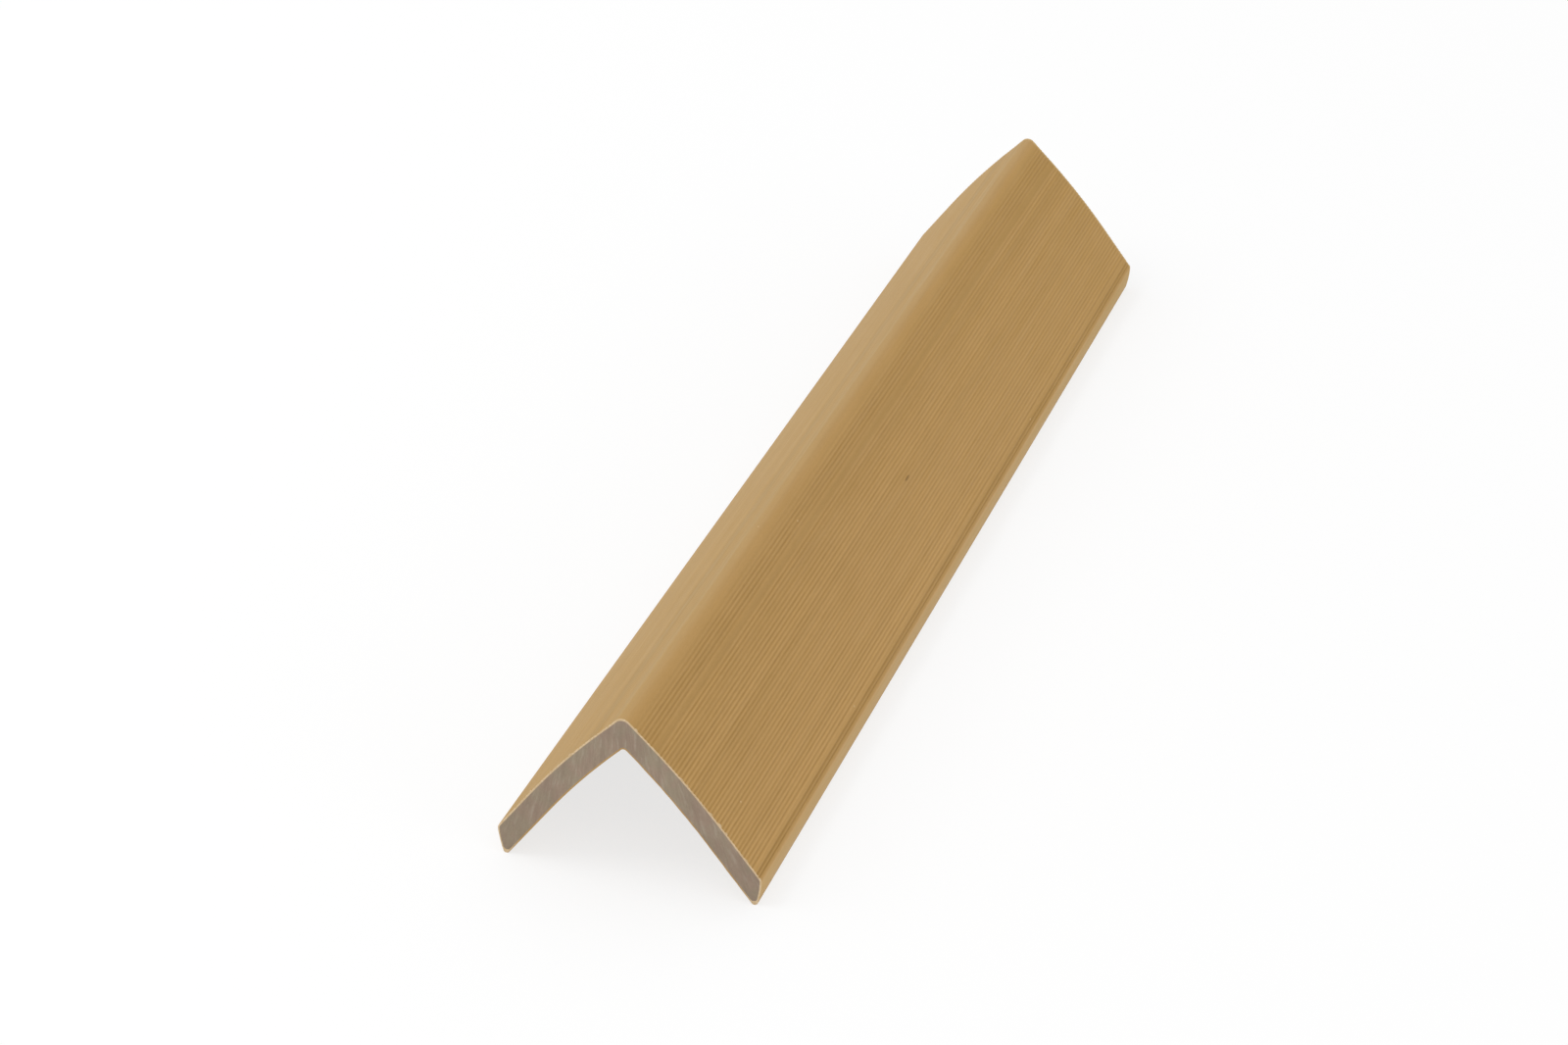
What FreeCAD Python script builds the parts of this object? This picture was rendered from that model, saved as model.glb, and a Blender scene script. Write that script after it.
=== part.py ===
import FreeCAD, Part
import math
import os
from FreeCAD import Vector

# Corner guard moulding: a length of extruded wood-plastic angle, tan cap layer round a grey-brown core.
# It lies as a tent, corner line up, on the lips of its two legs. X runs along it, Z is up.
# The origin is on the floor, in the middle of the length, under the corner line. Millimetres.

length = 320.0

# One leg, measured along its show face from the corner line to the outer edge.
leg_width = 50.0
wall = 6.2
corner_angle = 90.0

# Each leg leaves the corner straight and then turns in a little, so its edge springs onto the wall.
# The straight part reaches past the inner corner by the inner straight.
inner_straight = 3.0
bend_length = 27.0
bend_angle = 8.0

# The edge of a leg is cut back towards the wall: its lip stands past the show face by the overhang.
lip_overhang = 5.6
edge_crown = 0.35

# Rounding of the long edges of the finished moulding.
corner_radius = 2.2
inner_corner_radius = 1.0
edge_radius = 1.4
lip_radius = 0.8

# The cap layer goes all round the core and gathers at the lips, where the core is rounder.
cap_thickness = 0.4
core_corner_radius = 2.0
core_inner_corner_radius = 1.2
core_edge_radius = 1.2
core_lip_radius = 1.0

# An edge of a solid belongs to a point of the section when it passes this near to it.
edge_match = 0.04

half_corner = math.radians(corner_angle / 2)
bend_radius = bend_length / math.radians(bend_angle)
straight_by_corner = wall / math.tan(half_corner) + inner_straight


def along(heading):
    """Unit vector down the right leg, its heading taken from straight down."""
    return Vector(0, -math.sin(heading), -math.cos(heading))


def into_wall(heading):
    """Unit vector from the show face into the leg."""
    return Vector(0, math.cos(heading), -math.sin(heading))


bend_start = along(half_corner) * straight_by_corner
bend_centre = bend_start + into_wall(half_corner) * bend_radius


def leg_point(run, depth):
    """Point of the right leg, run along its show face from the corner line and depth under it."""
    run_in_bend = min(max(run - straight_by_corner, 0), bend_length)
    heading = half_corner - run_in_bend / bend_radius
    run_past_bend = run - straight_by_corner - run_in_bend
    on_bend = bend_centre - into_wall(heading) * (bend_radius - depth)
    return on_bend + along(heading) * run_past_bend


def corner_point(depth):
    """Point on the line of symmetry where the two legs' surfaces at this depth meet."""
    return leg_point(depth / math.tan(half_corner), depth)


def edge_point(depth, inset):
    """Point at this depth on the leg's edge face, moved in by the inset."""
    edge_slant = math.hypot(wall, lip_overhang) / wall
    return leg_point(leg_width + lip_overhang * depth / wall - inset * edge_slant, depth)


def leg_surface(depth, end):
    """Edges of one surface of the leg, from the corner to its end: straight, bend, straight."""
    start_of_bend = leg_point(straight_by_corner, depth)
    middle_of_bend = leg_point(straight_by_corner + bend_length / 2, depth)
    end_of_bend = leg_point(straight_by_corner + bend_length, depth)
    return [
        Part.LineSegment(corner_point(depth), start_of_bend).toShape(),
        Part.Arc(start_of_bend, middle_of_bend, end_of_bend).toShape(),
        Part.LineSegment(end_of_bend, end).toShape(),
    ]


def leg_edge(show_end, lip_end):
    """Edge face of the leg, slightly crowned, from the show face to the lip."""
    across = lip_end - show_end
    outward = Vector(0, across.z, -across.y).normalize()
    crown = show_end + across * 0.5 + outward * edge_crown
    return Part.Arc(show_end, crown, lip_end).toShape()


def key_points(inset):
    """The corners of the right half of the section: corner, edge, lip and inner corner."""
    return {
        "corner": corner_point(inset),
        "edge": edge_point(inset, inset),
        "lip": edge_point(wall - inset, inset),
        "inner corner": corner_point(wall - inset),
    }


def section(inset):
    """Face of the whole section, moved in all round by the inset, with sharp corners."""
    points = key_points(inset)
    right = leg_surface(inset, points["edge"])
    right.append(leg_edge(points["edge"], points["lip"]))
    right.extend(leg_surface(wall - inset, points["lip"]))
    left = [edge.mirror(Vector(), Vector(0, 1, 0)) for edge in right]
    return Part.Face(Part.Wire(Part.__sortEdges__(right + left)))


def long_edges(solid, point):
    """Edges that run the whole length through a point of the section, on both legs."""
    found = []
    for edge in solid.Edges:
        middle = edge.CenterOfMass
        mirrored = Vector(middle.x, -abs(middle.y), middle.z)
        if mirrored.distanceToPoint(point + Vector(middle.x, 0, 0)) < edge_match:
            found.append(edge)
    return found


def bar(inset, radii):
    """The section run out to the full length, with its long edges rounded."""
    solid = section(inset).extrude(Vector(length, 0, 0))
    points = key_points(inset)
    for name, radius in radii.items():
        solid = solid.makeFillet(radius, long_edges(solid, points[name]))
    return solid


def finished_bar():
    return bar(0, {
        "corner": corner_radius,
        "inner corner": inner_corner_radius,
        "edge": edge_radius,
        "lip": lip_radius,
    })


def core_bar():
    return bar(cap_thickness, {
        "corner": core_corner_radius,
        "inner corner": core_inner_corner_radius,
        "edge": core_edge_radius,
        "lip": core_lip_radius,
    })


def stand_on_floor(shape, lowest):
    shape.translate(Vector(-length / 2, 0, -lowest))
    return shape


def main():
    whole = finished_bar()
    core = core_bar()
    cap_layer = whole.cut(core)
    lowest = whole.optimalBoundingBox().ZMin
    os.makedirs("parts", exist_ok=True)
    for name, shape in (("core", core), ("cap_layer", cap_layer)):
        standing = stand_on_floor(shape, lowest)
        standing.exportStep(f"parts/{name}.step")
        print(name, "valid", standing.isValid(), "solids", len(standing.Solids), "volume", standing.Volume)


main()
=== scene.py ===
import bmesh
import bpy
import math
import random
from itertools import accumulate
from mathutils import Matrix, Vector


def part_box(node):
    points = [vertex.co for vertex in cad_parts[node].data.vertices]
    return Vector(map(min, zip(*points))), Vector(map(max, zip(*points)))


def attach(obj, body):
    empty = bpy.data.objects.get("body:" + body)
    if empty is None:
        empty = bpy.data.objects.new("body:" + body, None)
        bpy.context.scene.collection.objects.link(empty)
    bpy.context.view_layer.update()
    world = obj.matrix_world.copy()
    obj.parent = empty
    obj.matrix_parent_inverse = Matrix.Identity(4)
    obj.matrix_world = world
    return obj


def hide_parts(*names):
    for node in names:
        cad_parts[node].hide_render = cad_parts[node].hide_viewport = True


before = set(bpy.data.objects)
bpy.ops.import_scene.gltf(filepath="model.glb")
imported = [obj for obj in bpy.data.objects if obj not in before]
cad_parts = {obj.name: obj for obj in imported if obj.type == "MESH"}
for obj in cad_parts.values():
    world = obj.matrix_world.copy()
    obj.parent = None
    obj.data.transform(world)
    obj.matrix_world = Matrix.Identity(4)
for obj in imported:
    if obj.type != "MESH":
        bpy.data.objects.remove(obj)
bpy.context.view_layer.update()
capLow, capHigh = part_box("cap_layer")
endX = capHigh.x
print("frame loaded")

# The moulding's section in metres, with the sizes of the solids. Only the lips are rounded a little more,
# which puts them on the floor with the edges' crown drawn as a parabola.
section = {
    "legWidth": 0.050,
    "wall": 0.0062,
    "halfCorner": math.radians(45),
    "innerStraight": 0.003,
    "bendLength": 0.027,
    "bendAngle": math.radians(8),
    "lipOverhang": 0.0056,
    "edgeCrown": 0.00035,
    "capThickness": 0.0004,
}
outsideRounding = {"corner": 0.0022, "edge": 0.0014, "lip": 0.00084, "innerCorner": 0.0010}
coreRounding = {"corner": 0.0020, "edge": 0.0012, "lip": 0.0010, "innerCorner": 0.0012}
arcSteps = {"corner": 8, "edge": 8, "lip": 8, "innerCorner": 6}
crownSteps = 6
innerFaceSteps = 24
touching = 1e-6  # points nearer than this are one

bendRadius = section["bendLength"] / section["bendAngle"]
straightByCorner = section["wall"] / math.tan(section["halfCorner"]) + section["innerStraight"]
cornerHeight = capHigh.z + outsideRounding["corner"] * (1 / math.sin(section["halfCorner"]) - 1)

# The fine combed lines along the show faces.
combing = {
    "firstRun": 0.0042,
    "pitch": 0.00105,
    "count": 42,
    "width": 0.00094,
    "depth": 0.00009,
    "depthOnLeft": 0.00007,
    "unevenPlace": 0.03,
    "unevenDepth": 0.16,
    "faint": {0: 0.35, 1: 0.75, 6: 0.15, 7: 0.5, 41: 0.4},  # lines that hardly show, by their number
    "edgeLines": ((0.04819, 0.00078, 1.35), (0.04910, 0.00052, 1.35)),  # the last two: run, width, strength
    "lineShape": ((-0.5, 0.0), (-0.3, 0.35), (-0.1, 0.92), (0.1, 0.92), (0.3, 0.35), (0.5, 0.0)),
    "plainStations": (0.25, 0.5, 0.75),  # between the corner's rounding and the first line
    "seed": 11,
}


def downLeg(heading):
    return Vector((-math.sin(heading), -math.cos(heading)))


def intoWall(heading):
    return Vector((math.cos(heading), -math.sin(heading)))


def headingAt(run):
    runInBend = min(max(run - straightByCorner, 0), section["bendLength"])
    return section["halfCorner"] - runInBend / bendRadius


def legPoint(run, depth):
    # run goes down the right leg's show face from the corner line, depth goes into the wall
    heading = headingAt(run)
    runInBend = (section["halfCorner"] - heading) * bendRadius
    bendStart = downLeg(section["halfCorner"]) * straightByCorner
    bendCentre = bendStart + intoWall(section["halfCorner"]) * bendRadius
    onBend = bendCentre - intoWall(heading) * (bendRadius - depth)
    return onBend + downLeg(heading) * (run - straightByCorner - runInBend)


def edgeRun(depth, inset):
    slant = math.hypot(section["wall"], section["lipOverhang"]) / section["wall"]
    return section["legWidth"] + section["lipOverhang"] * depth / section["wall"] - inset * slant


def roundedCorner(before, corner, after, radius, steps):
    back = (before - corner).normalized()
    ahead = (after - corner).normalized()
    half = back.angle(ahead) / 2
    centre = corner + (back + ahead).normalized() * radius / math.sin(half)
    start = corner + back * radius / math.tan(half) - centre
    finish = corner + ahead * radius / math.tan(half) - centre
    return [centre + start.slerp(finish, step / steps) * radius for step in range(steps + 1)]


def combStations():
    # places along the show face, each with its share of the comb's depth
    draw = random.Random(combing["seed"])
    lines = []
    for number in range(combing["count"]):
        place = number + draw.uniform(-1, 1) * combing["unevenPlace"]
        strength = 1 + draw.uniform(-1, 1) * combing["unevenDepth"]
        strength *= combing["faint"].get(number, 1)
        lines.append((combing["firstRun"] + combing["pitch"] * place, combing["width"], strength))
    stations = []
    for place, width, strength in lines + list(combing["edgeLines"]):
        stations += [(place + width * side, share * strength) for side, share in combing["lineShape"]]
    return stations


def halfOutline(inset, rounding, combDepth):
    # the right half of the section, from the corner line round the edge to the inner corner,
    # each point with its share of the comb's depth
    innerDepth = section["wall"] - inset
    cornerReach = inset / math.tan(section["halfCorner"])
    innerReach = innerDepth / math.tan(section["halfCorner"])
    corner, innerCorner = legPoint(cornerReach, inset), legPoint(innerReach, innerDepth)
    edge = legPoint(edgeRun(inset, inset), inset)
    lip = legPoint(edgeRun(innerDepth, inset), innerDepth)
    rightward = downLeg(section["halfCorner"])
    leftward = rightward * Vector((-1, 1))
    upShowFace = legPoint(straightByCorner + section["bendLength"], inset)
    upInnerFace = legPoint(straightByCorner + section["bendLength"], innerDepth)

    # the crown's height is share * (1 - share) of the bulge, which is a quarter in the middle
    across = lip - edge
    bulge = Vector((across.y, -across.x)).normalized() * section["edgeCrown"] * 4
    cornerArc = roundedCorner(corner + leftward, corner, corner + rightward, rounding["corner"],
                              2 * arcSteps["corner"])[arcSteps["corner"]:]
    edgeArc = roundedCorner(upShowFace, edge, edge + across + bulge, rounding["edge"], arcSteps["edge"])
    lipArc = roundedCorner(lip - across + bulge, lip, upInnerFace, rounding["lip"], arcSteps["lip"])
    innerArc = roundedCorner(innerCorner + rightward, innerCorner, innerCorner + leftward,
                             rounding["innerCorner"], 2 * arcSteps["innerCorner"])
    innerArc = innerArc[:arcSteps["innerCorner"] + 1]

    outline = [(point, 0) for point in cornerArc]
    comb = combStations()
    firstRun = cornerReach + rounding["corner"] / math.tan(section["halfCorner"])
    for share in combing["plainStations"]:
        outline.append((legPoint(firstRun + (comb[0][0] - firstRun) * share, inset), 0))
    edgeStart = edgeRun(inset, inset) - (edgeArc[0] - edge).length
    for run, share in comb:
        if run < edgeStart:
            outline.append((legPoint(run, inset + share * combDepth), share))
    outline += [(point, 0) for point in edgeArc]
    crownStart = (edgeArc[-1] - edge).length / across.length
    crownFinish = 1 - (lipArc[0] - lip).length / across.length
    for step in range(1, crownSteps):
        share = crownStart + (crownFinish - crownStart) * step / crownSteps
        outline.append((edge + across * share + bulge * share * (1 - share), 0))
    outline += [(point, 0) for point in lipArc]
    innerStart = edgeRun(innerDepth, inset) - (lipArc[-1] - lip).length
    innerFinish = innerReach + rounding["innerCorner"] / math.tan(section["halfCorner"])
    for step in range(1, innerFaceSteps):
        run = innerStart + (innerFinish - innerStart) * step / innerFaceSteps
        outline.append((legPoint(run, innerDepth), 0))
    outline += [(point, 0) for point in innerArc]
    return outline


def deselectAll():
    bpy.ops.object.select_all(action="DESELECT")


def makeActive(piece):
    deselectAll()
    piece.select_set(True)
    bpy.context.view_layer.objects.active = piece


def selectVertices(piece, wanted):
    mesh = bmesh.from_edit_mesh(piece.data)
    bpy.ops.mesh.select_all(action="DESELECT")
    for vertex in mesh.verts:
        if wanted(vertex.co):
            vertex.select = True
    mesh.select_flush(True)
    bmesh.update_edit_mesh(piece.data)


def applyModifier(piece, kind, **settings):
    makeActive(piece)
    modifier = piece.modifiers.new(kind.title(), kind)
    for name, value in settings.items():
        setattr(modifier, name, value)
    bpy.ops.object.modifier_apply(modifier=modifier.name)


def joinInto(piece, others):
    makeActive(piece)
    for other in others:
        other.select_set(True)
    if others:
        bpy.ops.object.join()


def weighSelected(piece, group, weight):
    piece.vertex_groups.active = piece.vertex_groups[group]
    bpy.context.scene.tool_settings.vertex_group_weight = min(weight, 1)
    bpy.ops.object.vertex_group_assign()


# The way round the outline, from the corner line to the inner corner, is kept as a share of this length.
longestWay = 0.125


def drawStrip(name, side, outline, ways, lengthwise):
    # a strip as long as the moulding is pulled round one half of the outline, row by row
    deselectAll()
    bpy.ops.mesh.primitive_grid_add(x_subdivisions=lengthwise, y_subdivisions=1, size=1)
    strip = bpy.context.object
    strip.name = name
    strip.vertex_groups.new(name="comb")
    strip.vertex_groups.new(name="way")
    bpy.ops.object.mode_set(mode="EDIT")
    bpy.ops.transform.resize(value=(2 * endX, 1, 1))
    for start, row in ((0.5, 0), (-0.5, 1)):
        selectVertices(strip, lambda place, start=start: place.y * start > 0 and abs(place.z) < touching)
        point = outline[row][0]
        bpy.ops.transform.translate(value=(0, side * point.x - start, point.y + cornerHeight))
        weighSelected(strip, "way", ways[row] / longestWay)
    for row in range(2, len(outline)):
        step = outline[row][0] - outline[row - 1][0]
        bpy.ops.mesh.extrude_edges_move(TRANSFORM_OT_translate={"value": (0, side * step.x, step.y)})
        weighSelected(strip, "comb", outline[row][1])
        weighSelected(strip, "way", ways[row] / longestWay)
    bpy.ops.object.mode_set(mode="OBJECT")
    return strip


def drawSkin(name, inset, rounding, rightDepth, leftDepth, lengthwise):
    flat = [point for point, share in halfOutline(inset, rounding, 0)]
    steps = [(after - before).length for before, after in zip(flat, flat[1:])]
    ways = list(accumulate(steps, initial=0))
    right = drawStrip(name, 1, halfOutline(inset, rounding, rightDepth), ways, lengthwise)
    left = drawStrip(name + "Left", -1, halfOutline(inset, rounding, leftDepth), ways, lengthwise)
    joinInto(right, [left])
    bpy.ops.object.mode_set(mode="EDIT")
    bpy.ops.mesh.select_all(action="SELECT")
    bpy.ops.mesh.remove_doubles(threshold=touching)
    bpy.ops.mesh.normals_make_consistent(inside=False)
    bpy.ops.object.mode_set(mode="OBJECT")
    return right


def selectEndLoops(piece, place):
    selectVertices(piece, lambda point: abs(point.x - place) < touching)


# The cap layer: an outer skin with the combed lines, an inner skin on the core, rims at the sawn ends.
cap = {
    "lengthwise": 16,
    "sawnEdge": 0.00014,
    "sawnEdgeDrop": 0.00007,
    "rimRoughness": 0.00004,
    "seed": 4,
    "smoothBelow": math.radians(50),
}


def modelCapLayer():
    outer = drawSkin("capLayer", 0, outsideRounding, combing["depth"], combing["depthOnLeft"],
                     cap["lengthwise"])
    bpy.ops.object.mode_set(mode="EDIT")
    for side in (-1, 1):
        # the saw leaves the outer edge of each rim a little rounded and rough
        bpy.ops.mesh.select_all(action="SELECT")
        bpy.ops.mesh.bisect(plane_co=(side * (endX - cap["sawnEdge"]), 0, 0), plane_no=(1, 0, 0))
        selectEndLoops(outer, side * endX)
        bpy.ops.transform.shrink_fatten(value=-cap["sawnEdgeDrop"])
        bpy.ops.transform.vertex_random(offset=cap["rimRoughness"], normal=1, seed=cap["seed"] + side)
    bpy.ops.object.mode_set(mode="OBJECT")
    inner = drawSkin("capInnerSkin", section["capThickness"], coreRounding, 0, 0, cap["lengthwise"])
    joinInto(outer, [inner])
    bpy.ops.object.mode_set(mode="EDIT")
    for side in (-1, 1):
        selectVertices(outer, lambda point: side * point.x > endX - cap["sawnEdge"] / 2)
        bpy.ops.mesh.fill()
    bpy.ops.mesh.select_all(action="SELECT")
    bpy.ops.mesh.normals_make_consistent(inside=False)
    bpy.ops.object.mode_set(mode="OBJECT")
    return outer


# The core: its two sawn faces are cut into cells and left uneven by the saw.
core = {
    "acrossCell": 0.0004,
    "upCell": 0.0015,
    "sawDepth": 0.00006,
    "markWidth": 0.0007,
    "markStretch": 14,
    "markLean": math.radians(4),
    "markDetail": 2,
}


def unevenSawnFaces(piece):
    # the sawn faces rise and fall by a few hundredths of a millimetre, in marks that run up the face
    atEnds = [vertex.index for vertex in piece.data.vertices if abs(vertex.co.x) > endX - touching]
    piece.vertex_groups.new(name="sawn").add(atEnds, 1, "REPLACE")
    marks = bpy.data.textures.new("sawMarks", "CLOUDS")
    marks.noise_scale = core["markWidth"]
    marks.noise_depth = core["markDetail"]
    bpy.ops.object.empty_add(location=(0, 0, 0))
    stretch = bpy.context.object
    stretch.scale = (1, 1, core["markStretch"])
    stretch.rotation_euler.x = core["markLean"]
    bpy.context.view_layer.update()
    applyModifier(piece, "DISPLACE", texture=marks, texture_coords="OBJECT",
                  texture_coords_object=stretch, direction="X", strength=core["sawDepth"], mid_level=0.5,
                  vertex_group="sawn")
    bpy.data.objects.remove(stretch)
    bpy.data.textures.remove(marks)


def modelCore():
    piece = drawSkin("sawnCore", section["capThickness"], coreRounding, 0, 0, 1)
    bpy.ops.object.mode_set(mode="EDIT")
    bpy.ops.mesh.select_mode(type="VERT")
    for side in (-1, 1):
        selectEndLoops(piece, side * endX)
        bpy.ops.mesh.edge_face_add()
        for direction, cell, low, high in ((Vector((0, 1, 0)), core["acrossCell"], capLow.y, capHigh.y),
                                           (Vector((0, 0, 1)), core["upCell"], capLow.z, capHigh.z)):
            for number in range(1, int((high - low) / cell)):
                selectEndLoops(piece, side * endX)
                bpy.ops.mesh.bisect(plane_co=direction * (low + number * cell), plane_no=direction)
    bpy.ops.mesh.select_all(action="SELECT")
    bpy.ops.mesh.normals_make_consistent(inside=False)
    bpy.ops.object.mode_set(mode="OBJECT")
    unevenSawnFaces(piece)
    return piece


def showFaceAt(run):
    # point and heading of the show face, which starts on the corner's rounding
    radius = outsideRounding["corner"]
    roundedRun = radius / math.tan(section["halfCorner"])
    if run > roundedRun:
        return legPoint(run, 0), headingAt(run)
    heading = math.pi / 2 + (section["halfCorner"] - math.pi / 2) * run / roundedRun
    return legPoint(roundedRun, radius) - intoWall(heading) * radius, heading


def placeOnLeg(piece, x, run, depth):
    # lays a piece on a show face, its Y down the leg and its Z out of the face,
    # where runs on the left leg are negative
    side = math.copysign(1, run)
    surface, heading = showFaceAt(abs(run))
    point = surface + intoWall(heading) * depth
    down = downLeg(heading)
    piece.location = (x, side * point.x, cornerHeight + point.y)
    piece.rotation_euler.x = math.atan2(down.y, side * down.x) + (math.pi if side < 0 else 0)


# Shreds of the cap layer that the saw left on the outer edge of the near end.
burrs = {
    "places": (  # run, length along the edge, height
        (0.0045, 0.0008, 0.00045), (0.0199, 0.0007, 0.00040), (0.0218, 0.0006, 0.00045),
        (0.0304, 0.0009, 0.00045), (0.0337, 0.0012, 0.00060), (0.0362, 0.0007, 0.00040),
        (0.0441, 0.0006, 0.00030), (-0.0190, 0.0010, 0.00040), (-0.0267, 0.0007, 0.00035),
        (-0.0353, 0.0008, 0.00040),
    ),
    "thickness": 0.00022,
    "sunkIn": 0.6,  # of the thickness
    "roughness": 0.00004,
    # the leaf before it is sized: its foot's top, and how the rest is drawn in and leans
    "footTop": 0.15,
    "drawnIn": (0.6, 0.55, 1),
    "lean": (-0.1, 0.12, 0),
}


def modelSawBurrs():
    deselectAll()
    bpy.ops.mesh.primitive_ico_sphere_add(subdivisions=3, radius=0.5)
    shred = bpy.context.object
    shred.name = "sawBurrs"
    bpy.ops.object.mode_set(mode="EDIT")
    # a thin leaf that is widest at its foot
    selectVertices(shred, lambda point: point.z > burrs["footTop"])
    bpy.ops.transform.resize(value=burrs["drawnIn"])
    bpy.ops.transform.translate(value=burrs["lean"])
    bpy.ops.object.mode_set(mode="OBJECT")
    shreds = []
    for number, (run, length, height) in enumerate(burrs["places"]):
        makeActive(shred)
        bpy.ops.object.duplicate(linked=False)
        burr = bpy.context.object
        bpy.ops.object.mode_set(mode="EDIT")
        bpy.ops.mesh.select_all(action="SELECT")
        bpy.ops.transform.resize(value=(burrs["thickness"], length, height))
        bpy.ops.transform.vertex_random(offset=burrs["roughness"], uniform=1, seed=number)
        bpy.ops.object.mode_set(mode="OBJECT")
        placeOnLeg(burr, -endX + burrs["thickness"] * burrs["sunkIn"], run, 0)
        shreds.append(burr)
    joinInto(shreds[0], shreds[1:])
    bpy.data.objects.remove(shred)
    joined = shreds[0]
    joined.name = "sawBurrs"
    bpy.ops.object.transform_apply(location=True, rotation=True, scale=True)
    return joined


# Bits of fibre that lie in the right show face, one of them in the corner's rounding.
flecks = {
    "pale": (  # x, run, depth
        (-0.1485, 0.0350, 0), (-0.0900, 0.0472, 0), (0.0590, 0.0478, 0), (-0.0725, 0.0003, 0),
        (-0.0595, 0.0081, 0),
    ),
    "paleSize": (0.0007, 0.00045, 0.00014),
    "dark": ((-0.0097, 0.0261, 0.00002),),
    "darkSize": (0.0032, 0.00062, 0.00014),
    "roughness": 0.00003,
}


def modelFlecks(name, places, size):
    pieces = []
    for number, (x, run, depth) in enumerate(places):
        deselectAll()
        bpy.ops.mesh.primitive_uv_sphere_add(segments=16, ring_count=10, radius=0.5)
        fleck = bpy.context.object
        fleck.name = name
        bpy.ops.object.mode_set(mode="EDIT")
        bpy.ops.transform.resize(value=size)
        bpy.ops.transform.vertex_random(offset=flecks["roughness"], uniform=1, seed=number)
        bpy.ops.object.mode_set(mode="OBJECT")
        placeOnLeg(fleck, x, run, depth)
        pieces.append(fleck)
    joinInto(pieces[0], pieces[1:])
    bpy.ops.object.transform_apply(location=True, rotation=True, scale=True)
    return pieces[0]


# Materials. Colours are linear, as the finish looks under plain white light.
def newTree(material):
    material.use_nodes = True
    material.node_tree.nodes.clear()
    return material.node_tree


def feed(tree, socket, value):
    # a socket takes another node's output or a plain value
    if isinstance(value, bpy.types.NodeSocket):
        tree.links.new(value, socket)
    else:
        socket.default_value = value


def addNode(tree, kind, inputs=None, **settings):
    made = tree.nodes.new("ShaderNode" + kind)
    for name, value in settings.items():
        setattr(made, name, value)
    for name, value in (inputs or {}).items():
        feed(tree, made.inputs[name], value)
    return made


def rescale(tree, value, before=(0.0, 1.0), after=(0.0, 1.0)):
    # what ran from one number of before to the other now runs between the two of after, and no further
    made = addNode(tree, "MapRange", {"Value": value, "From Min": before[0], "From Max": before[1],
                                      "To Min": after[0], "To Max": after[1]})
    return made.outputs[0]


def calculate(tree, operation, first, second):
    return addNode(tree, "Math", {0: first, 1: second}, operation=operation).outputs[0]


def mixColours(tree, amount, first, second):
    made = addNode(tree, "Mix", data_type="RGBA")
    for index, value in ((0, amount), (6, first), (7, second)):
        feed(tree, made.inputs[index], (*value, 1) if isinstance(value, tuple) else value)
    return made.outputs[2]


def newGroup(name, sockets, output):
    group = bpy.data.node_groups.new(name, "ShaderNodeTree")
    for socket, kind in sockets.items():
        group.interface.new_socket(name=socket, in_out="INPUT", socket_type="NodeSocket" + kind)
    group.interface.new_socket(name=output, in_out="OUTPUT", socket_type="NodeSocketFloat")
    return group, group.nodes.new("NodeGroupInput"), group.nodes.new("NodeGroupOutput")


def makeGrainGroup():
    # soft mottling drawn out by the stretch, which counts features per metre each way
    sockets = {"Place": "Vector", "Stretch": "Vector", "Detail": "Float", "Low": "Float", "High": "Float"}
    group, given, result = newGroup("drawnGrain", sockets, "Mask")
    drawn = addNode(group, "VectorMath", {0: given.outputs["Place"], 1: given.outputs["Stretch"]},
                    operation="MULTIPLY")
    noise = addNode(group, "TexNoise", {"Vector": drawn.outputs[0], "Scale": 1.0,
                                        "Detail": given.outputs["Detail"]})
    spread = rescale(group, noise.outputs[0], (given.outputs["Low"], given.outputs["High"]))
    group.links.new(spread, result.inputs["Mask"])
    return group


def makeSpeckGroup():
    # small round specks in a share of the cells, which are counted per metre
    sockets = {"Place": "Vector", "Cells": "Float", "Size": "Float", "Share": "Float"}
    group, given, result = newGroup("specks", sockets, "Mask")
    place, number = given.outputs["Place"], given.outputs["Cells"]
    cells = addNode(group, "TexVoronoi", {"Vector": place, "Scale": number})
    speck = rescale(group, cells.outputs["Distance"], (given.outputs["Size"], 0.0))
    pick = addNode(group, "SeparateColor", {"Color": cells.outputs["Color"]}).outputs[0]
    chosen = calculate(group, "LESS_THAN", pick, given.outputs["Share"])
    group.links.new(calculate(group, "MULTIPLY", speck, chosen), result.inputs["Mask"])
    return group


grainGroup = makeGrainGroup()
speckGroup = makeSpeckGroup()


def addMask(tree, group, **values):
    return addNode(tree, "Group", values, node_tree=group).outputs["Mask"]


wholeSpread = {"Low": 0.0, "High": 1.0}
middleSpread = {"Low": 0.25, "High": 0.75}
compositeShine = 0.36


def finishMaterial(tree, colour, roughness, height, bumpDistance):
    bump = addNode(tree, "Bump", {"Height": height, "Distance": bumpDistance, "Strength": 1.0})
    shader = addNode(tree, "BsdfPrincipled", {"Base Color": colour, "Roughness": roughness,
                                              "Specular IOR Level": compositeShine,
                                              "Normal": bump.outputs[0]})
    output = addNode(tree, "OutputMaterial")
    tree.links.new(shader.outputs[0], output.inputs["Surface"])


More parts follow.
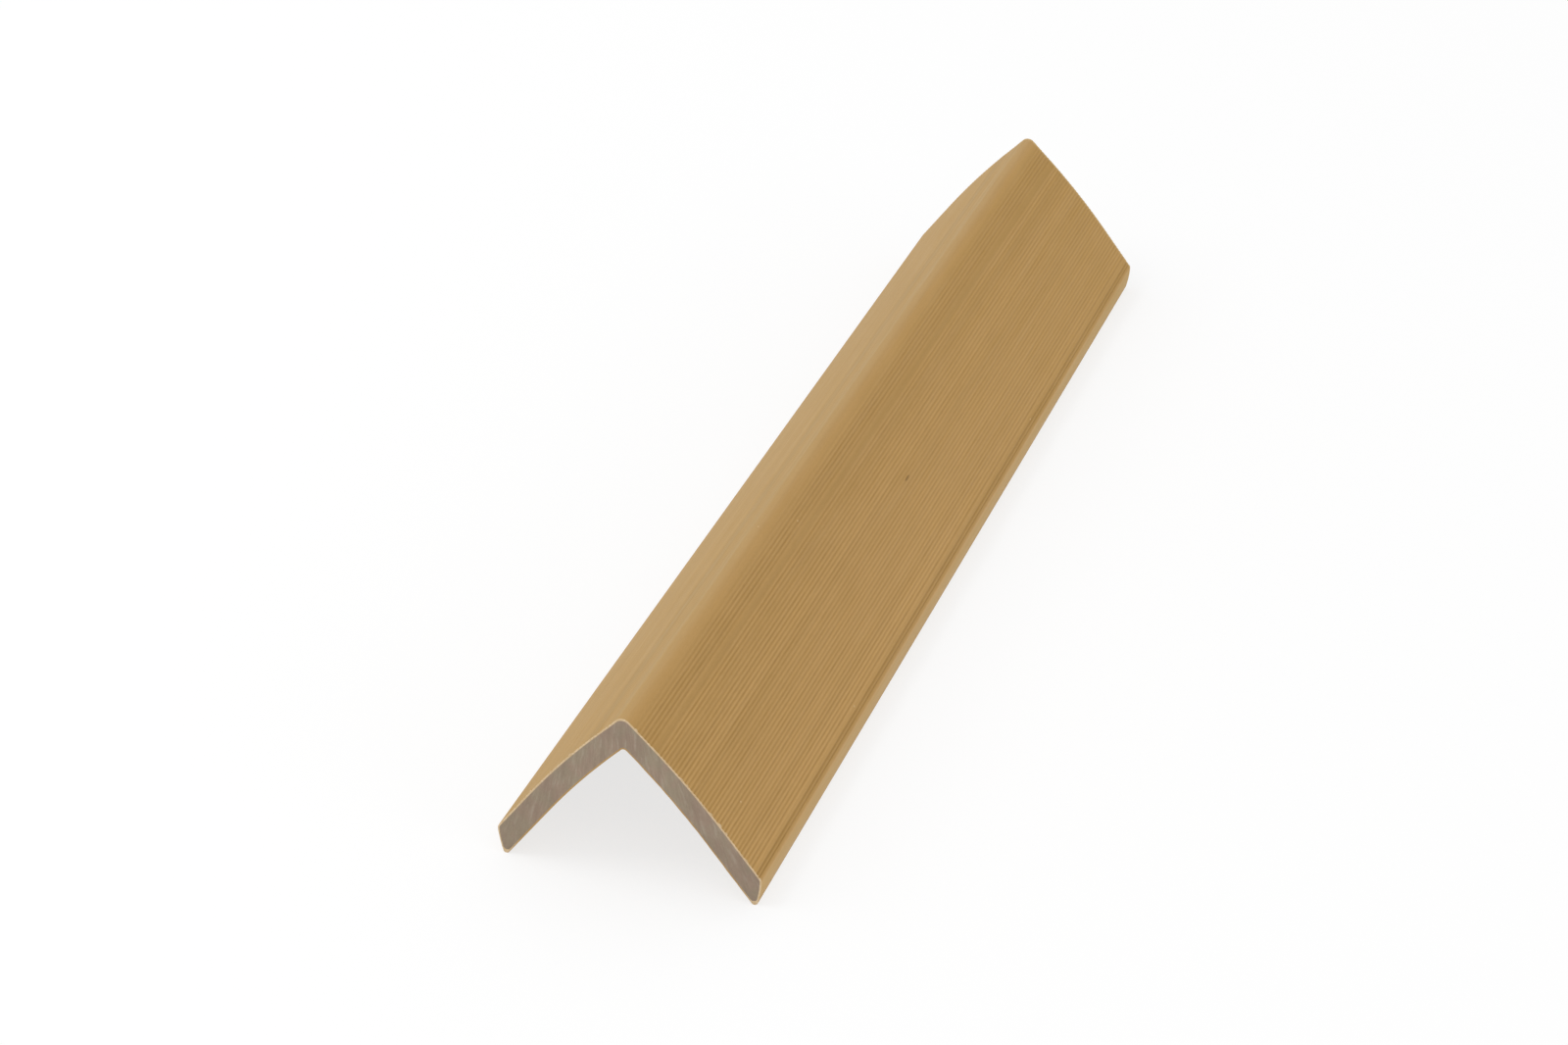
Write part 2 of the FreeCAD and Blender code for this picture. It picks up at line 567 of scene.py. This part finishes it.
capFinish = {
    "pale": (0.523, 0.307, 0.100),
    "dark": (0.328, 0.185, 0.044),
    # the colour of the combed lines: partly their stain, partly painted shade in the grooves
    "line": (0.228, 0.112, 0.006),
    "lineStrength": 0.43,
    "lineStrengthLeft": 0.32,
    "paintedSheen": (0.46, 0.31, 0.15),
    "sheenKhaki": (0.385, 0.262, 0.078),
    "sawnEdge": (0.62, 0.44, 0.20),
    "sawnEdgeShare": 0.8,
    "sawnEdgeReach": 0.0012,
    # tone from dark 0 to pale 1, at millimetres down the leg from the corner line, the left leg's negative
    # the stops from 50.3 to 57.5 mm are painted light: the edge face is painted nearly pale for the light
    # it catches from below and its sheen
    "bands": (
        (-51, 0.80), (-49.5, 0.51), (-13.6, 0.58), (-12.0, 0.36), (-10.6, 0.08), (-9.2, 0.30),
        (-7.8, 0.56), (-4.7, 0.52), (-3.6, 0.21), (-1, 0.33), (0.2, 0.46), (1, 0.45), (1.8, 0.58),
        (3.6, 0.52), (5.2, 0.54), (9.3, 0.48), (10.1, 0.31), (11, 0.32), (11.9, 0.68), (15, 0.52),
        (17.4, 0.62), (20.6, 0.72), (24.5, 0.60), (36.3, 0.72), (39.5, 0.68), (45, 0.78), (46.9, 0.72),
        (47.8, 0.33), (49.2, 0.40), (50.3, 0.98), (57.5, 0.98), (60, 0.80),
    ),
    # painted sheen: a pale tint painted along the crown and both legs' edges at these millimetres, standing
    # in for the highlight these rounded faces catch
    "paintedSheenShare": (
        (-60, 0.0), (-50, 0.2), (-46, 0.0), (-2.5, 0.0), (-1.2, 0.15), (0.3, 0.36), (1.4, 0.12),
        (2.5, 0.0), (49.6, 0.0), (50.2, 0.08), (60, 0.0),
    ),
    # painted sheen: a khaki tint painted on the left leg and round the right leg's edge, for the pale sheen
    # these faces show when seen at a grazing angle
    "sheenKhakiShare": (
        (-60, 0.35), (-50, 0.28), (-2.0, 0.28), (0.5, 0.0), (49.8, 0.0), (50.6, 0.4), (60, 0.35),
    ),
    # painted shade along the length: what the far end adds to the tone, where 0.5 leaves it as it is; the
    # right face is painted darker there, the left a little lighter
    "farLightAndShade": (
        (-60, 0.58), (-1, 0.58), (2.5, 0.42), (5.5, 0.26), (13, 0.26), (14.2, 0.08), (16, 0.08),
        (17.2, 0.26), (60, 0.26),
    ),
    "farLightAndShadeShift": 0.25,
    "farWarmShare": ((-60, 0.0), (0, 0.0), (3, 0.12), (49.8, 0.12), (50.6, 0.26), (60, 0.26)),
    "warm": (0.50, 0.27, 0.0),
    "farStart": -endX / 3,
    "bandReach": 62.5,
    "tints": (  # stretch, detail, weight
        ((6, 420, 40), 2, 0.17),  # long soft streaks
        ((22, 1700, 40), 3, 0.12),  # fine streaks
        ((60, 90, 40), 2, 0.11),  # clouds
        ((700, 2600, 40), 2, 0.155),  # grain
    ),
    "lineBreaks": (0.65, 1.35),
    "lineWear": (1.06, 0.74),  # at the near end and at the far end
    "roughness": (0.52, 0.66),
    "gritHeight": 0.00003,
}


def addBands(tree, way, bands):
    # a ramp across both legs, for what changes across the moulding but not along it
    reach = capFinish["bandReach"]
    ramp = addNode(tree, "ValToRGB", {"Fac": rescale(tree, way, (-reach, reach))})
    stops = ramp.color_ramp.elements
    for number, (millimetres, tone) in enumerate(bands):
        position = 0.5 + millimetres / (2 * reach)
        if number < 2:
            stops[number].position = position
        stop = stops[number] if number < 2 else stops.new(position)
        stop.color = (tone, tone, tone, 1)
    return ramp.outputs["Color"]


inMillimetres = 1000.0


def makeCapMaterial():
    material = bpy.data.materials.new("combedTanCap")
    tree = newTree(material)
    place = addNode(tree, "TexCoord").outputs["Object"]
    apart = addNode(tree, "SeparateXYZ", {"Vector": place})
    way = addNode(tree, "Attribute", attribute_name="wayRound").outputs["Fac"]
    comb = addNode(tree, "Attribute", attribute_name="combDepth").outputs["Fac"]
    onLeg = addNode(tree, "CombineXYZ", {0: apart.outputs[0], 1: way, 2: apart.outputs[1]}).outputs[0]
    toRight = calculate(tree, "LESS_THAN", apart.outputs[1], 0.0)
    side = rescale(tree, toRight, after=(-inMillimetres, inMillimetres))
    acrossLegs = calculate(tree, "MULTIPLY", way, side)

    tone = addBands(tree, acrossLegs, capFinish["bands"])
    for stretch, detail, weight in capFinish["tints"]:
        grain = addMask(tree, grainGroup, Place=onLeg, Stretch=stretch, Detail=detail, **middleSpread)
        tone = calculate(tree, "ADD", tone, rescale(tree, grain, after=(-weight / 2, weight / 2)))
    # painted shade: the right face is painted a little darker and warmer towards the far end, and the left
    # a little lighter, for how the light falls along the length
    far = rescale(tree, apart.outputs[0], (capFinish["farStart"], endX))
    farLightAndShade = rescale(tree, addBands(tree, acrossLegs, capFinish["farLightAndShade"]),
                      after=(-capFinish["farLightAndShadeShift"], capFinish["farLightAndShadeShift"]))
    tone = calculate(tree, "ADD", tone, calculate(tree, "MULTIPLY", far, farLightAndShade))
    colour = mixColours(tree, tone, capFinish["dark"], capFinish["pale"])
    warmth = calculate(tree, "MULTIPLY", far, addBands(tree, acrossLegs, capFinish["farWarmShare"]))
    colour = mixColours(tree, warmth, colour, capFinish["warm"])
    # painted sheen: a pale tint on the crown and edges, and a khaki tint on the left leg and round the
    # right edge for the sheen they show at a grazing view
    for tint in ("paintedSheen", "sheenKhaki"):
        share = addBands(tree, acrossLegs, capFinish[tint + "Share"])
        colour = mixColours(tree, share, colour, capFinish[tint])
    # the far end's sawn edge shows as a pale line
    fromFarEnd = rescale(tree, apart.outputs[0], (endX - capFinish["sawnEdgeReach"], endX),
                         (0.0, capFinish["sawnEdgeShare"]))
    colour = mixColours(tree, fromFarEnd, colour, capFinish["sawnEdge"])
    # the combed lines are darkened, partly a stain and partly painted shade in the grooves, in places less,
    # and less towards the far end
    strength = rescale(tree, toRight, after=(capFinish["lineStrengthLeft"], capFinish["lineStrength"]))
    broken = addMask(tree, grainGroup, Place=onLeg, Stretch=(150, 2600, 40), Detail=3, **middleSpread)
    strength = calculate(tree, "MULTIPLY", strength, rescale(tree, broken, after=capFinish["lineBreaks"]))
    worn = rescale(tree, apart.outputs[0], (-endX, endX), capFinish["lineWear"])
    strength = calculate(tree, "MULTIPLY", strength, worn)
    colour = mixColours(tree, calculate(tree, "MULTIPLY", comb, strength), colour, capFinish["line"])
    rough = addMask(tree, grainGroup, Place=onLeg, Stretch=(40, 900, 40), Detail=3, **middleSpread)
    roughness = rescale(tree, rough, after=capFinish["roughness"])
    grit = addMask(tree, grainGroup, Place=onLeg, Stretch=(900, 2800, 40), Detail=4, **wholeSpread)
    finishMaterial(tree, colour, roughness, grit, capFinish["gritHeight"])
    return material


rimFinish = {
    "pale": (0.68, 0.52, 0.33),
    "dull": (0.56, 0.40, 0.21),
    "tan": (0.44, 0.27, 0.10),
    "shadedTanFrom": (0.057, 0.062),  # the way round at which the rim is painted tan as painted shade, past the lip
    "roughness": 0.7,
    "blotchHeight": 0.00003,
}


def makeRimMaterial():
    # the saw leaves the cap layer's rim pale on the show side; inside, past the lip, it is painted nearly
    # its own tan, as painted shade where less light reaches
    material = bpy.data.materials.new("sawnCapRim")
    tree = newTree(material)
    place = addNode(tree, "TexCoord").outputs["Object"]
    way = addNode(tree, "Attribute", attribute_name="wayRound").outputs["Fac"]
    inside = rescale(tree, way, rimFinish["shadedTanFrom"])
    blotches = addMask(tree, grainGroup, Place=place, Stretch=(1200, 1200, 1200), Detail=3,
                       Low=0.35, High=0.65)
    colour = mixColours(tree, blotches, rimFinish["dull"], rimFinish["pale"])
    # painted shade: the rim turns tan inside the legs
    colour = mixColours(tree, inside, colour, rimFinish["tan"])
    finishMaterial(tree, colour, rimFinish["roughness"], blotches, rimFinish["blotchHeight"])
    return material


coreFinish = {
    "greyBrown": (0.318, 0.246, 0.174),
    "greenGrey": (0.310, 0.256, 0.178),
    "roseGrey": (0.334, 0.236, 0.178),
    "dark": (0.190, 0.138, 0.098),
    "paleFibre": (0.48, 0.42, 0.33),
    "greyBrownShare": 0.4,
    "paleFibreShare": 0.8,
    "lowShade": 0.25,  # share of dark by the lips
    "lowShadeTop": 0.02,
    "marksMeetAt": 0.1,  # the height at which the fanned saw marks would meet
    "layers": (  # stretch, detail, low, high, tint, weight
        ((300, 110, 90), 2, 0.42, 0.66, "dark", 0.24),  # broad darker patches
        ((700, 560, 110), 2, 0.42, 0.66, "dark", 0.22),  # saw marks
        ((700, 760, 190), 3, 0.54, 0.70, "paleFibre", 0.30),  # pale smears
        ((900, 2400, 330), 3, 0.50, 0.78, "paleFibre", 0.16),  # fine pale scratches
        ((1500, 1500, 1500), 3, 0.45, 0.75, "dark", 0.20),  # pores
    ),
    "roughness": 0.8,
    "markHeight": 0.00005,
}


def makeCoreMaterial():
    material = bpy.data.materials.new("sawnComposite")
    tree = newTree(material)
    place = addNode(tree, "TexCoord").outputs["Object"]
    apart = addNode(tree, "SeparateXYZ", {"Vector": place})
    # the saw marks fan out downwards, as from a point above the moulding
    alongX, acrossY, height = apart.outputs
    narrowing = rescale(tree, height, (0.0, coreFinish["marksMeetAt"]), (1.0, 0.0))
    spreadOut = calculate(tree, "DIVIDE", acrossY, narrowing)
    fanned = addNode(tree, "CombineXYZ", {0: alongX, 1: spreadOut, 2: height}).outputs[0]
    tintMask = addMask(tree, grainGroup, Place=place, Stretch=(260, 260, 200), Detail=2, Low=0.4, High=0.6)
    colour = mixColours(tree, tintMask, coreFinish["greenGrey"], coreFinish["roseGrey"])
    colour = mixColours(tree, coreFinish["greyBrownShare"], colour, coreFinish["greyBrown"])
    for stretch, detail, low, high, tint, weight in coreFinish["layers"]:
        grain = addMask(tree, grainGroup, Place=fanned, Stretch=stretch, Detail=detail, Low=low, High=high)
        colour = mixColours(tree, calculate(tree, "MULTIPLY", grain, weight), colour, coreFinish[tint])
    shade = rescale(tree, height, (0.0, coreFinish["lowShadeTop"]), (coreFinish["lowShade"], 0.0))
    colour = mixColours(tree, shade, colour, coreFinish["dark"])
    bits = addMask(tree, speckGroup, Place=place, Cells=420.0, Size=0.22, Share=0.05)
    bits = calculate(tree, "MULTIPLY", bits, coreFinish["paleFibreShare"])
    colour = mixColours(tree, bits, colour, coreFinish["paleFibre"])
    marks = addMask(tree, grainGroup, Place=fanned, Stretch=(900, 1600, 160), Detail=3, Low=0.3, High=0.7)
    finishMaterial(tree, colour, coreFinish["roughness"], marks, coreFinish["markHeight"])
    return material


fibreFinish = {
    "pale": (0.58, 0.40, 0.19),
    "dark": (0.225, 0.118, 0.022),
    "dull": (0.373, 0.213, 0.057),
    "dullShare": 0.35,
    "roughness": 0.6,
    "grainHeight": 0.00002,
}


def makeFibreMaterial(name, tint):
    material = bpy.data.materials.new(name)
    tree = newTree(material)
    place = addNode(tree, "TexCoord").outputs["Object"]
    grain = addMask(tree, grainGroup, Place=place, Stretch=(2500, 5000, 5000), Detail=2, Low=0.3, High=0.7)
    dull = calculate(tree, "MULTIPLY", grain, fibreFinish["dullShare"])
    colour = mixColours(tree, dull, fibreFinish[tint], fibreFinish["dull"])
    finishMaterial(tree, colour, fibreFinish["roughness"], grain, fibreFinish["grainHeight"])
    return material


def giveNumbers(piece):
    # the vertex groups become the numbers that the materials read
    for group, name, scale in (("comb", "combDepth", 1), ("way", "wayRound", longestWay)):
        numbers = piece.data.attributes.new(name, "FLOAT", "POINT")
        wanted = piece.vertex_groups[group].index
        for vertex in piece.data.vertices:
            for member in vertex.groups:
                if member.group == wanted:
                    numbers.data[vertex.index].value = member.weight * scale


def dressCapLayer(piece):
    giveNumbers(piece)
    piece.data.materials.append(makeCapMaterial())
    piece.data.materials.append(makeRimMaterial())
    for face in piece.data.polygons:
        if abs(face.center.x) > endX - cap["sawnEdge"]:
            face.material_index = 1
    makeActive(piece)
    bpy.ops.object.shade_smooth_by_angle(angle=cap["smoothBelow"])
    applyModifier(piece, "WEIGHTED_NORMAL", keep_sharp=True)


capLayer = modelCapLayer()
dressCapLayer(capLayer)
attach(capLayer, "root")
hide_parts("cap_layer")
print("cap layer modelled", len(capLayer.data.polygons))

corePiece = modelCore()
corePiece.data.materials.append(makeCoreMaterial())
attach(corePiece, "root")
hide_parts("core")
print("core modelled", len(corePiece.data.polygons))

sawBurrs = modelSawBurrs()
sawBurrs.data.materials.append(makeRimMaterial())
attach(sawBurrs, "root")
for tint in ("pale", "dark"):
    fleckPiece = modelFlecks(tint + "Flecks", flecks[tint], flecks[tint + "Size"])
    fleckPiece.data.materials.append(makeFibreMaterial(tint + "Fibre", tint))
    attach(fleckPiece, "root")
print("saw burrs and flecks modelled")

# The photo's view, fitted to both cut ends and the long edges.
shot = {
    "place": (-0.76665, -0.26205, 0.49539),
    "turn": (58.754, 0.658, -70.220),
    "lens": 82.05,
    "sensorWidth": 36,
}


def setCamera():
    turn = [math.radians(degrees) for degrees in shot["turn"]]
    bpy.ops.object.camera_add(location=shot["place"], rotation=turn)
    camera = bpy.context.object
    camera.data.lens = shot["lens"]
    camera.data.sensor_width = shot["sensorWidth"]
    bpy.context.scene.camera = camera


studio = {
    "floorSize": 8,
    "floorColour": (0.92, 0.92, 0.92, 1),
    "floorGlow": 0.75,  # near the moulding, rising to plain white where the fade ends
    "floorFade": (0.3, 1.6),
    "worldStrength": 0.80,
    "lamps": {  # place, size, power
        "keyLamp": ((-0.35, 1.1, 1.4), 1.2, 12),
        "sideLamp": ((-0.5, -1.6, 0.35), 1.0, 5),
    },
}


def seenDirectly(tree, cameraShare):
    # how much of the plain white that the camera, reflections and glass see
    rays = addNode(tree, "LightPath")
    camera = calculate(tree, "MULTIPLY", rays.outputs["Is Camera Ray"], cameraShare)
    glossy, transmitted = rays.outputs["Is Glossy Ray"], rays.outputs["Is Transmission Ray"]
    mirrored = calculate(tree, "MAXIMUM", glossy, transmitted)
    return calculate(tree, "MAXIMUM", camera, mirrored)


def setFloor():
    deselectAll()
    bpy.ops.mesh.primitive_plane_add(size=studio["floorSize"])
    floor = bpy.context.object
    floor.name = "floor"
    material = bpy.data.materials.new("paleFloor")
    tree = newTree(material)
    matt = addNode(tree, "BsdfDiffuse", {"Color": studio["floorColour"]})
    white = addNode(tree, "Emission", {"Color": (1, 1, 1, 1), "Strength": 1.0})
    place = addNode(tree, "TexCoord").outputs["Object"]
    away = addNode(tree, "VectorMath", {0: place}, operation="LENGTH").outputs["Value"]
    glow = rescale(tree, away, studio["floorFade"], (studio["floorGlow"], 1.0))
    mix = addNode(tree, "MixShader", {0: seenDirectly(tree, glow), 1: matt.outputs[0], 2: white.outputs[0]})
    # from below, the moulding's inside shows through the floor
    below = addNode(tree, "NewGeometry").outputs["Backfacing"]
    clear = addNode(tree, "BsdfTransparent")
    oneSided = addNode(tree, "MixShader", {0: below, 1: mix.outputs[0], 2: clear.outputs[0]})
    output = addNode(tree, "OutputMaterial")
    tree.links.new(oneSided.outputs[0], output.inputs["Surface"])
    floor.data.materials.append(material)


def setLights():
    world = bpy.data.worlds.new("studio")
    bpy.context.scene.world = world
    world.use_nodes = True
    tree = world.node_tree
    tree.nodes.clear()
    strength = rescale(tree, seenDirectly(tree, 1.0), after=(studio["worldStrength"], 1.0))
    sky = addNode(tree, "Background", {"Color": (1, 1, 1, 1), "Strength": strength})
    output = addNode(tree, "OutputWorld")
    tree.links.new(sky.outputs[0], output.inputs["Surface"])
    for name, (place, size, power) in studio["lamps"].items():
        bpy.ops.object.light_add(type="AREA", location=place)
        lamp = bpy.context.object
        lamp.name = name
        lamp.data.size = size
        lamp.data.energy = power
        lamp.rotation_euler = Vector(place).to_track_quat("Z", "Y").to_euler()


setCamera()
setFloor()
setLights()
bpy.context.scene.view_settings.view_transform = "Standard"
print("camera, floor and lights set")
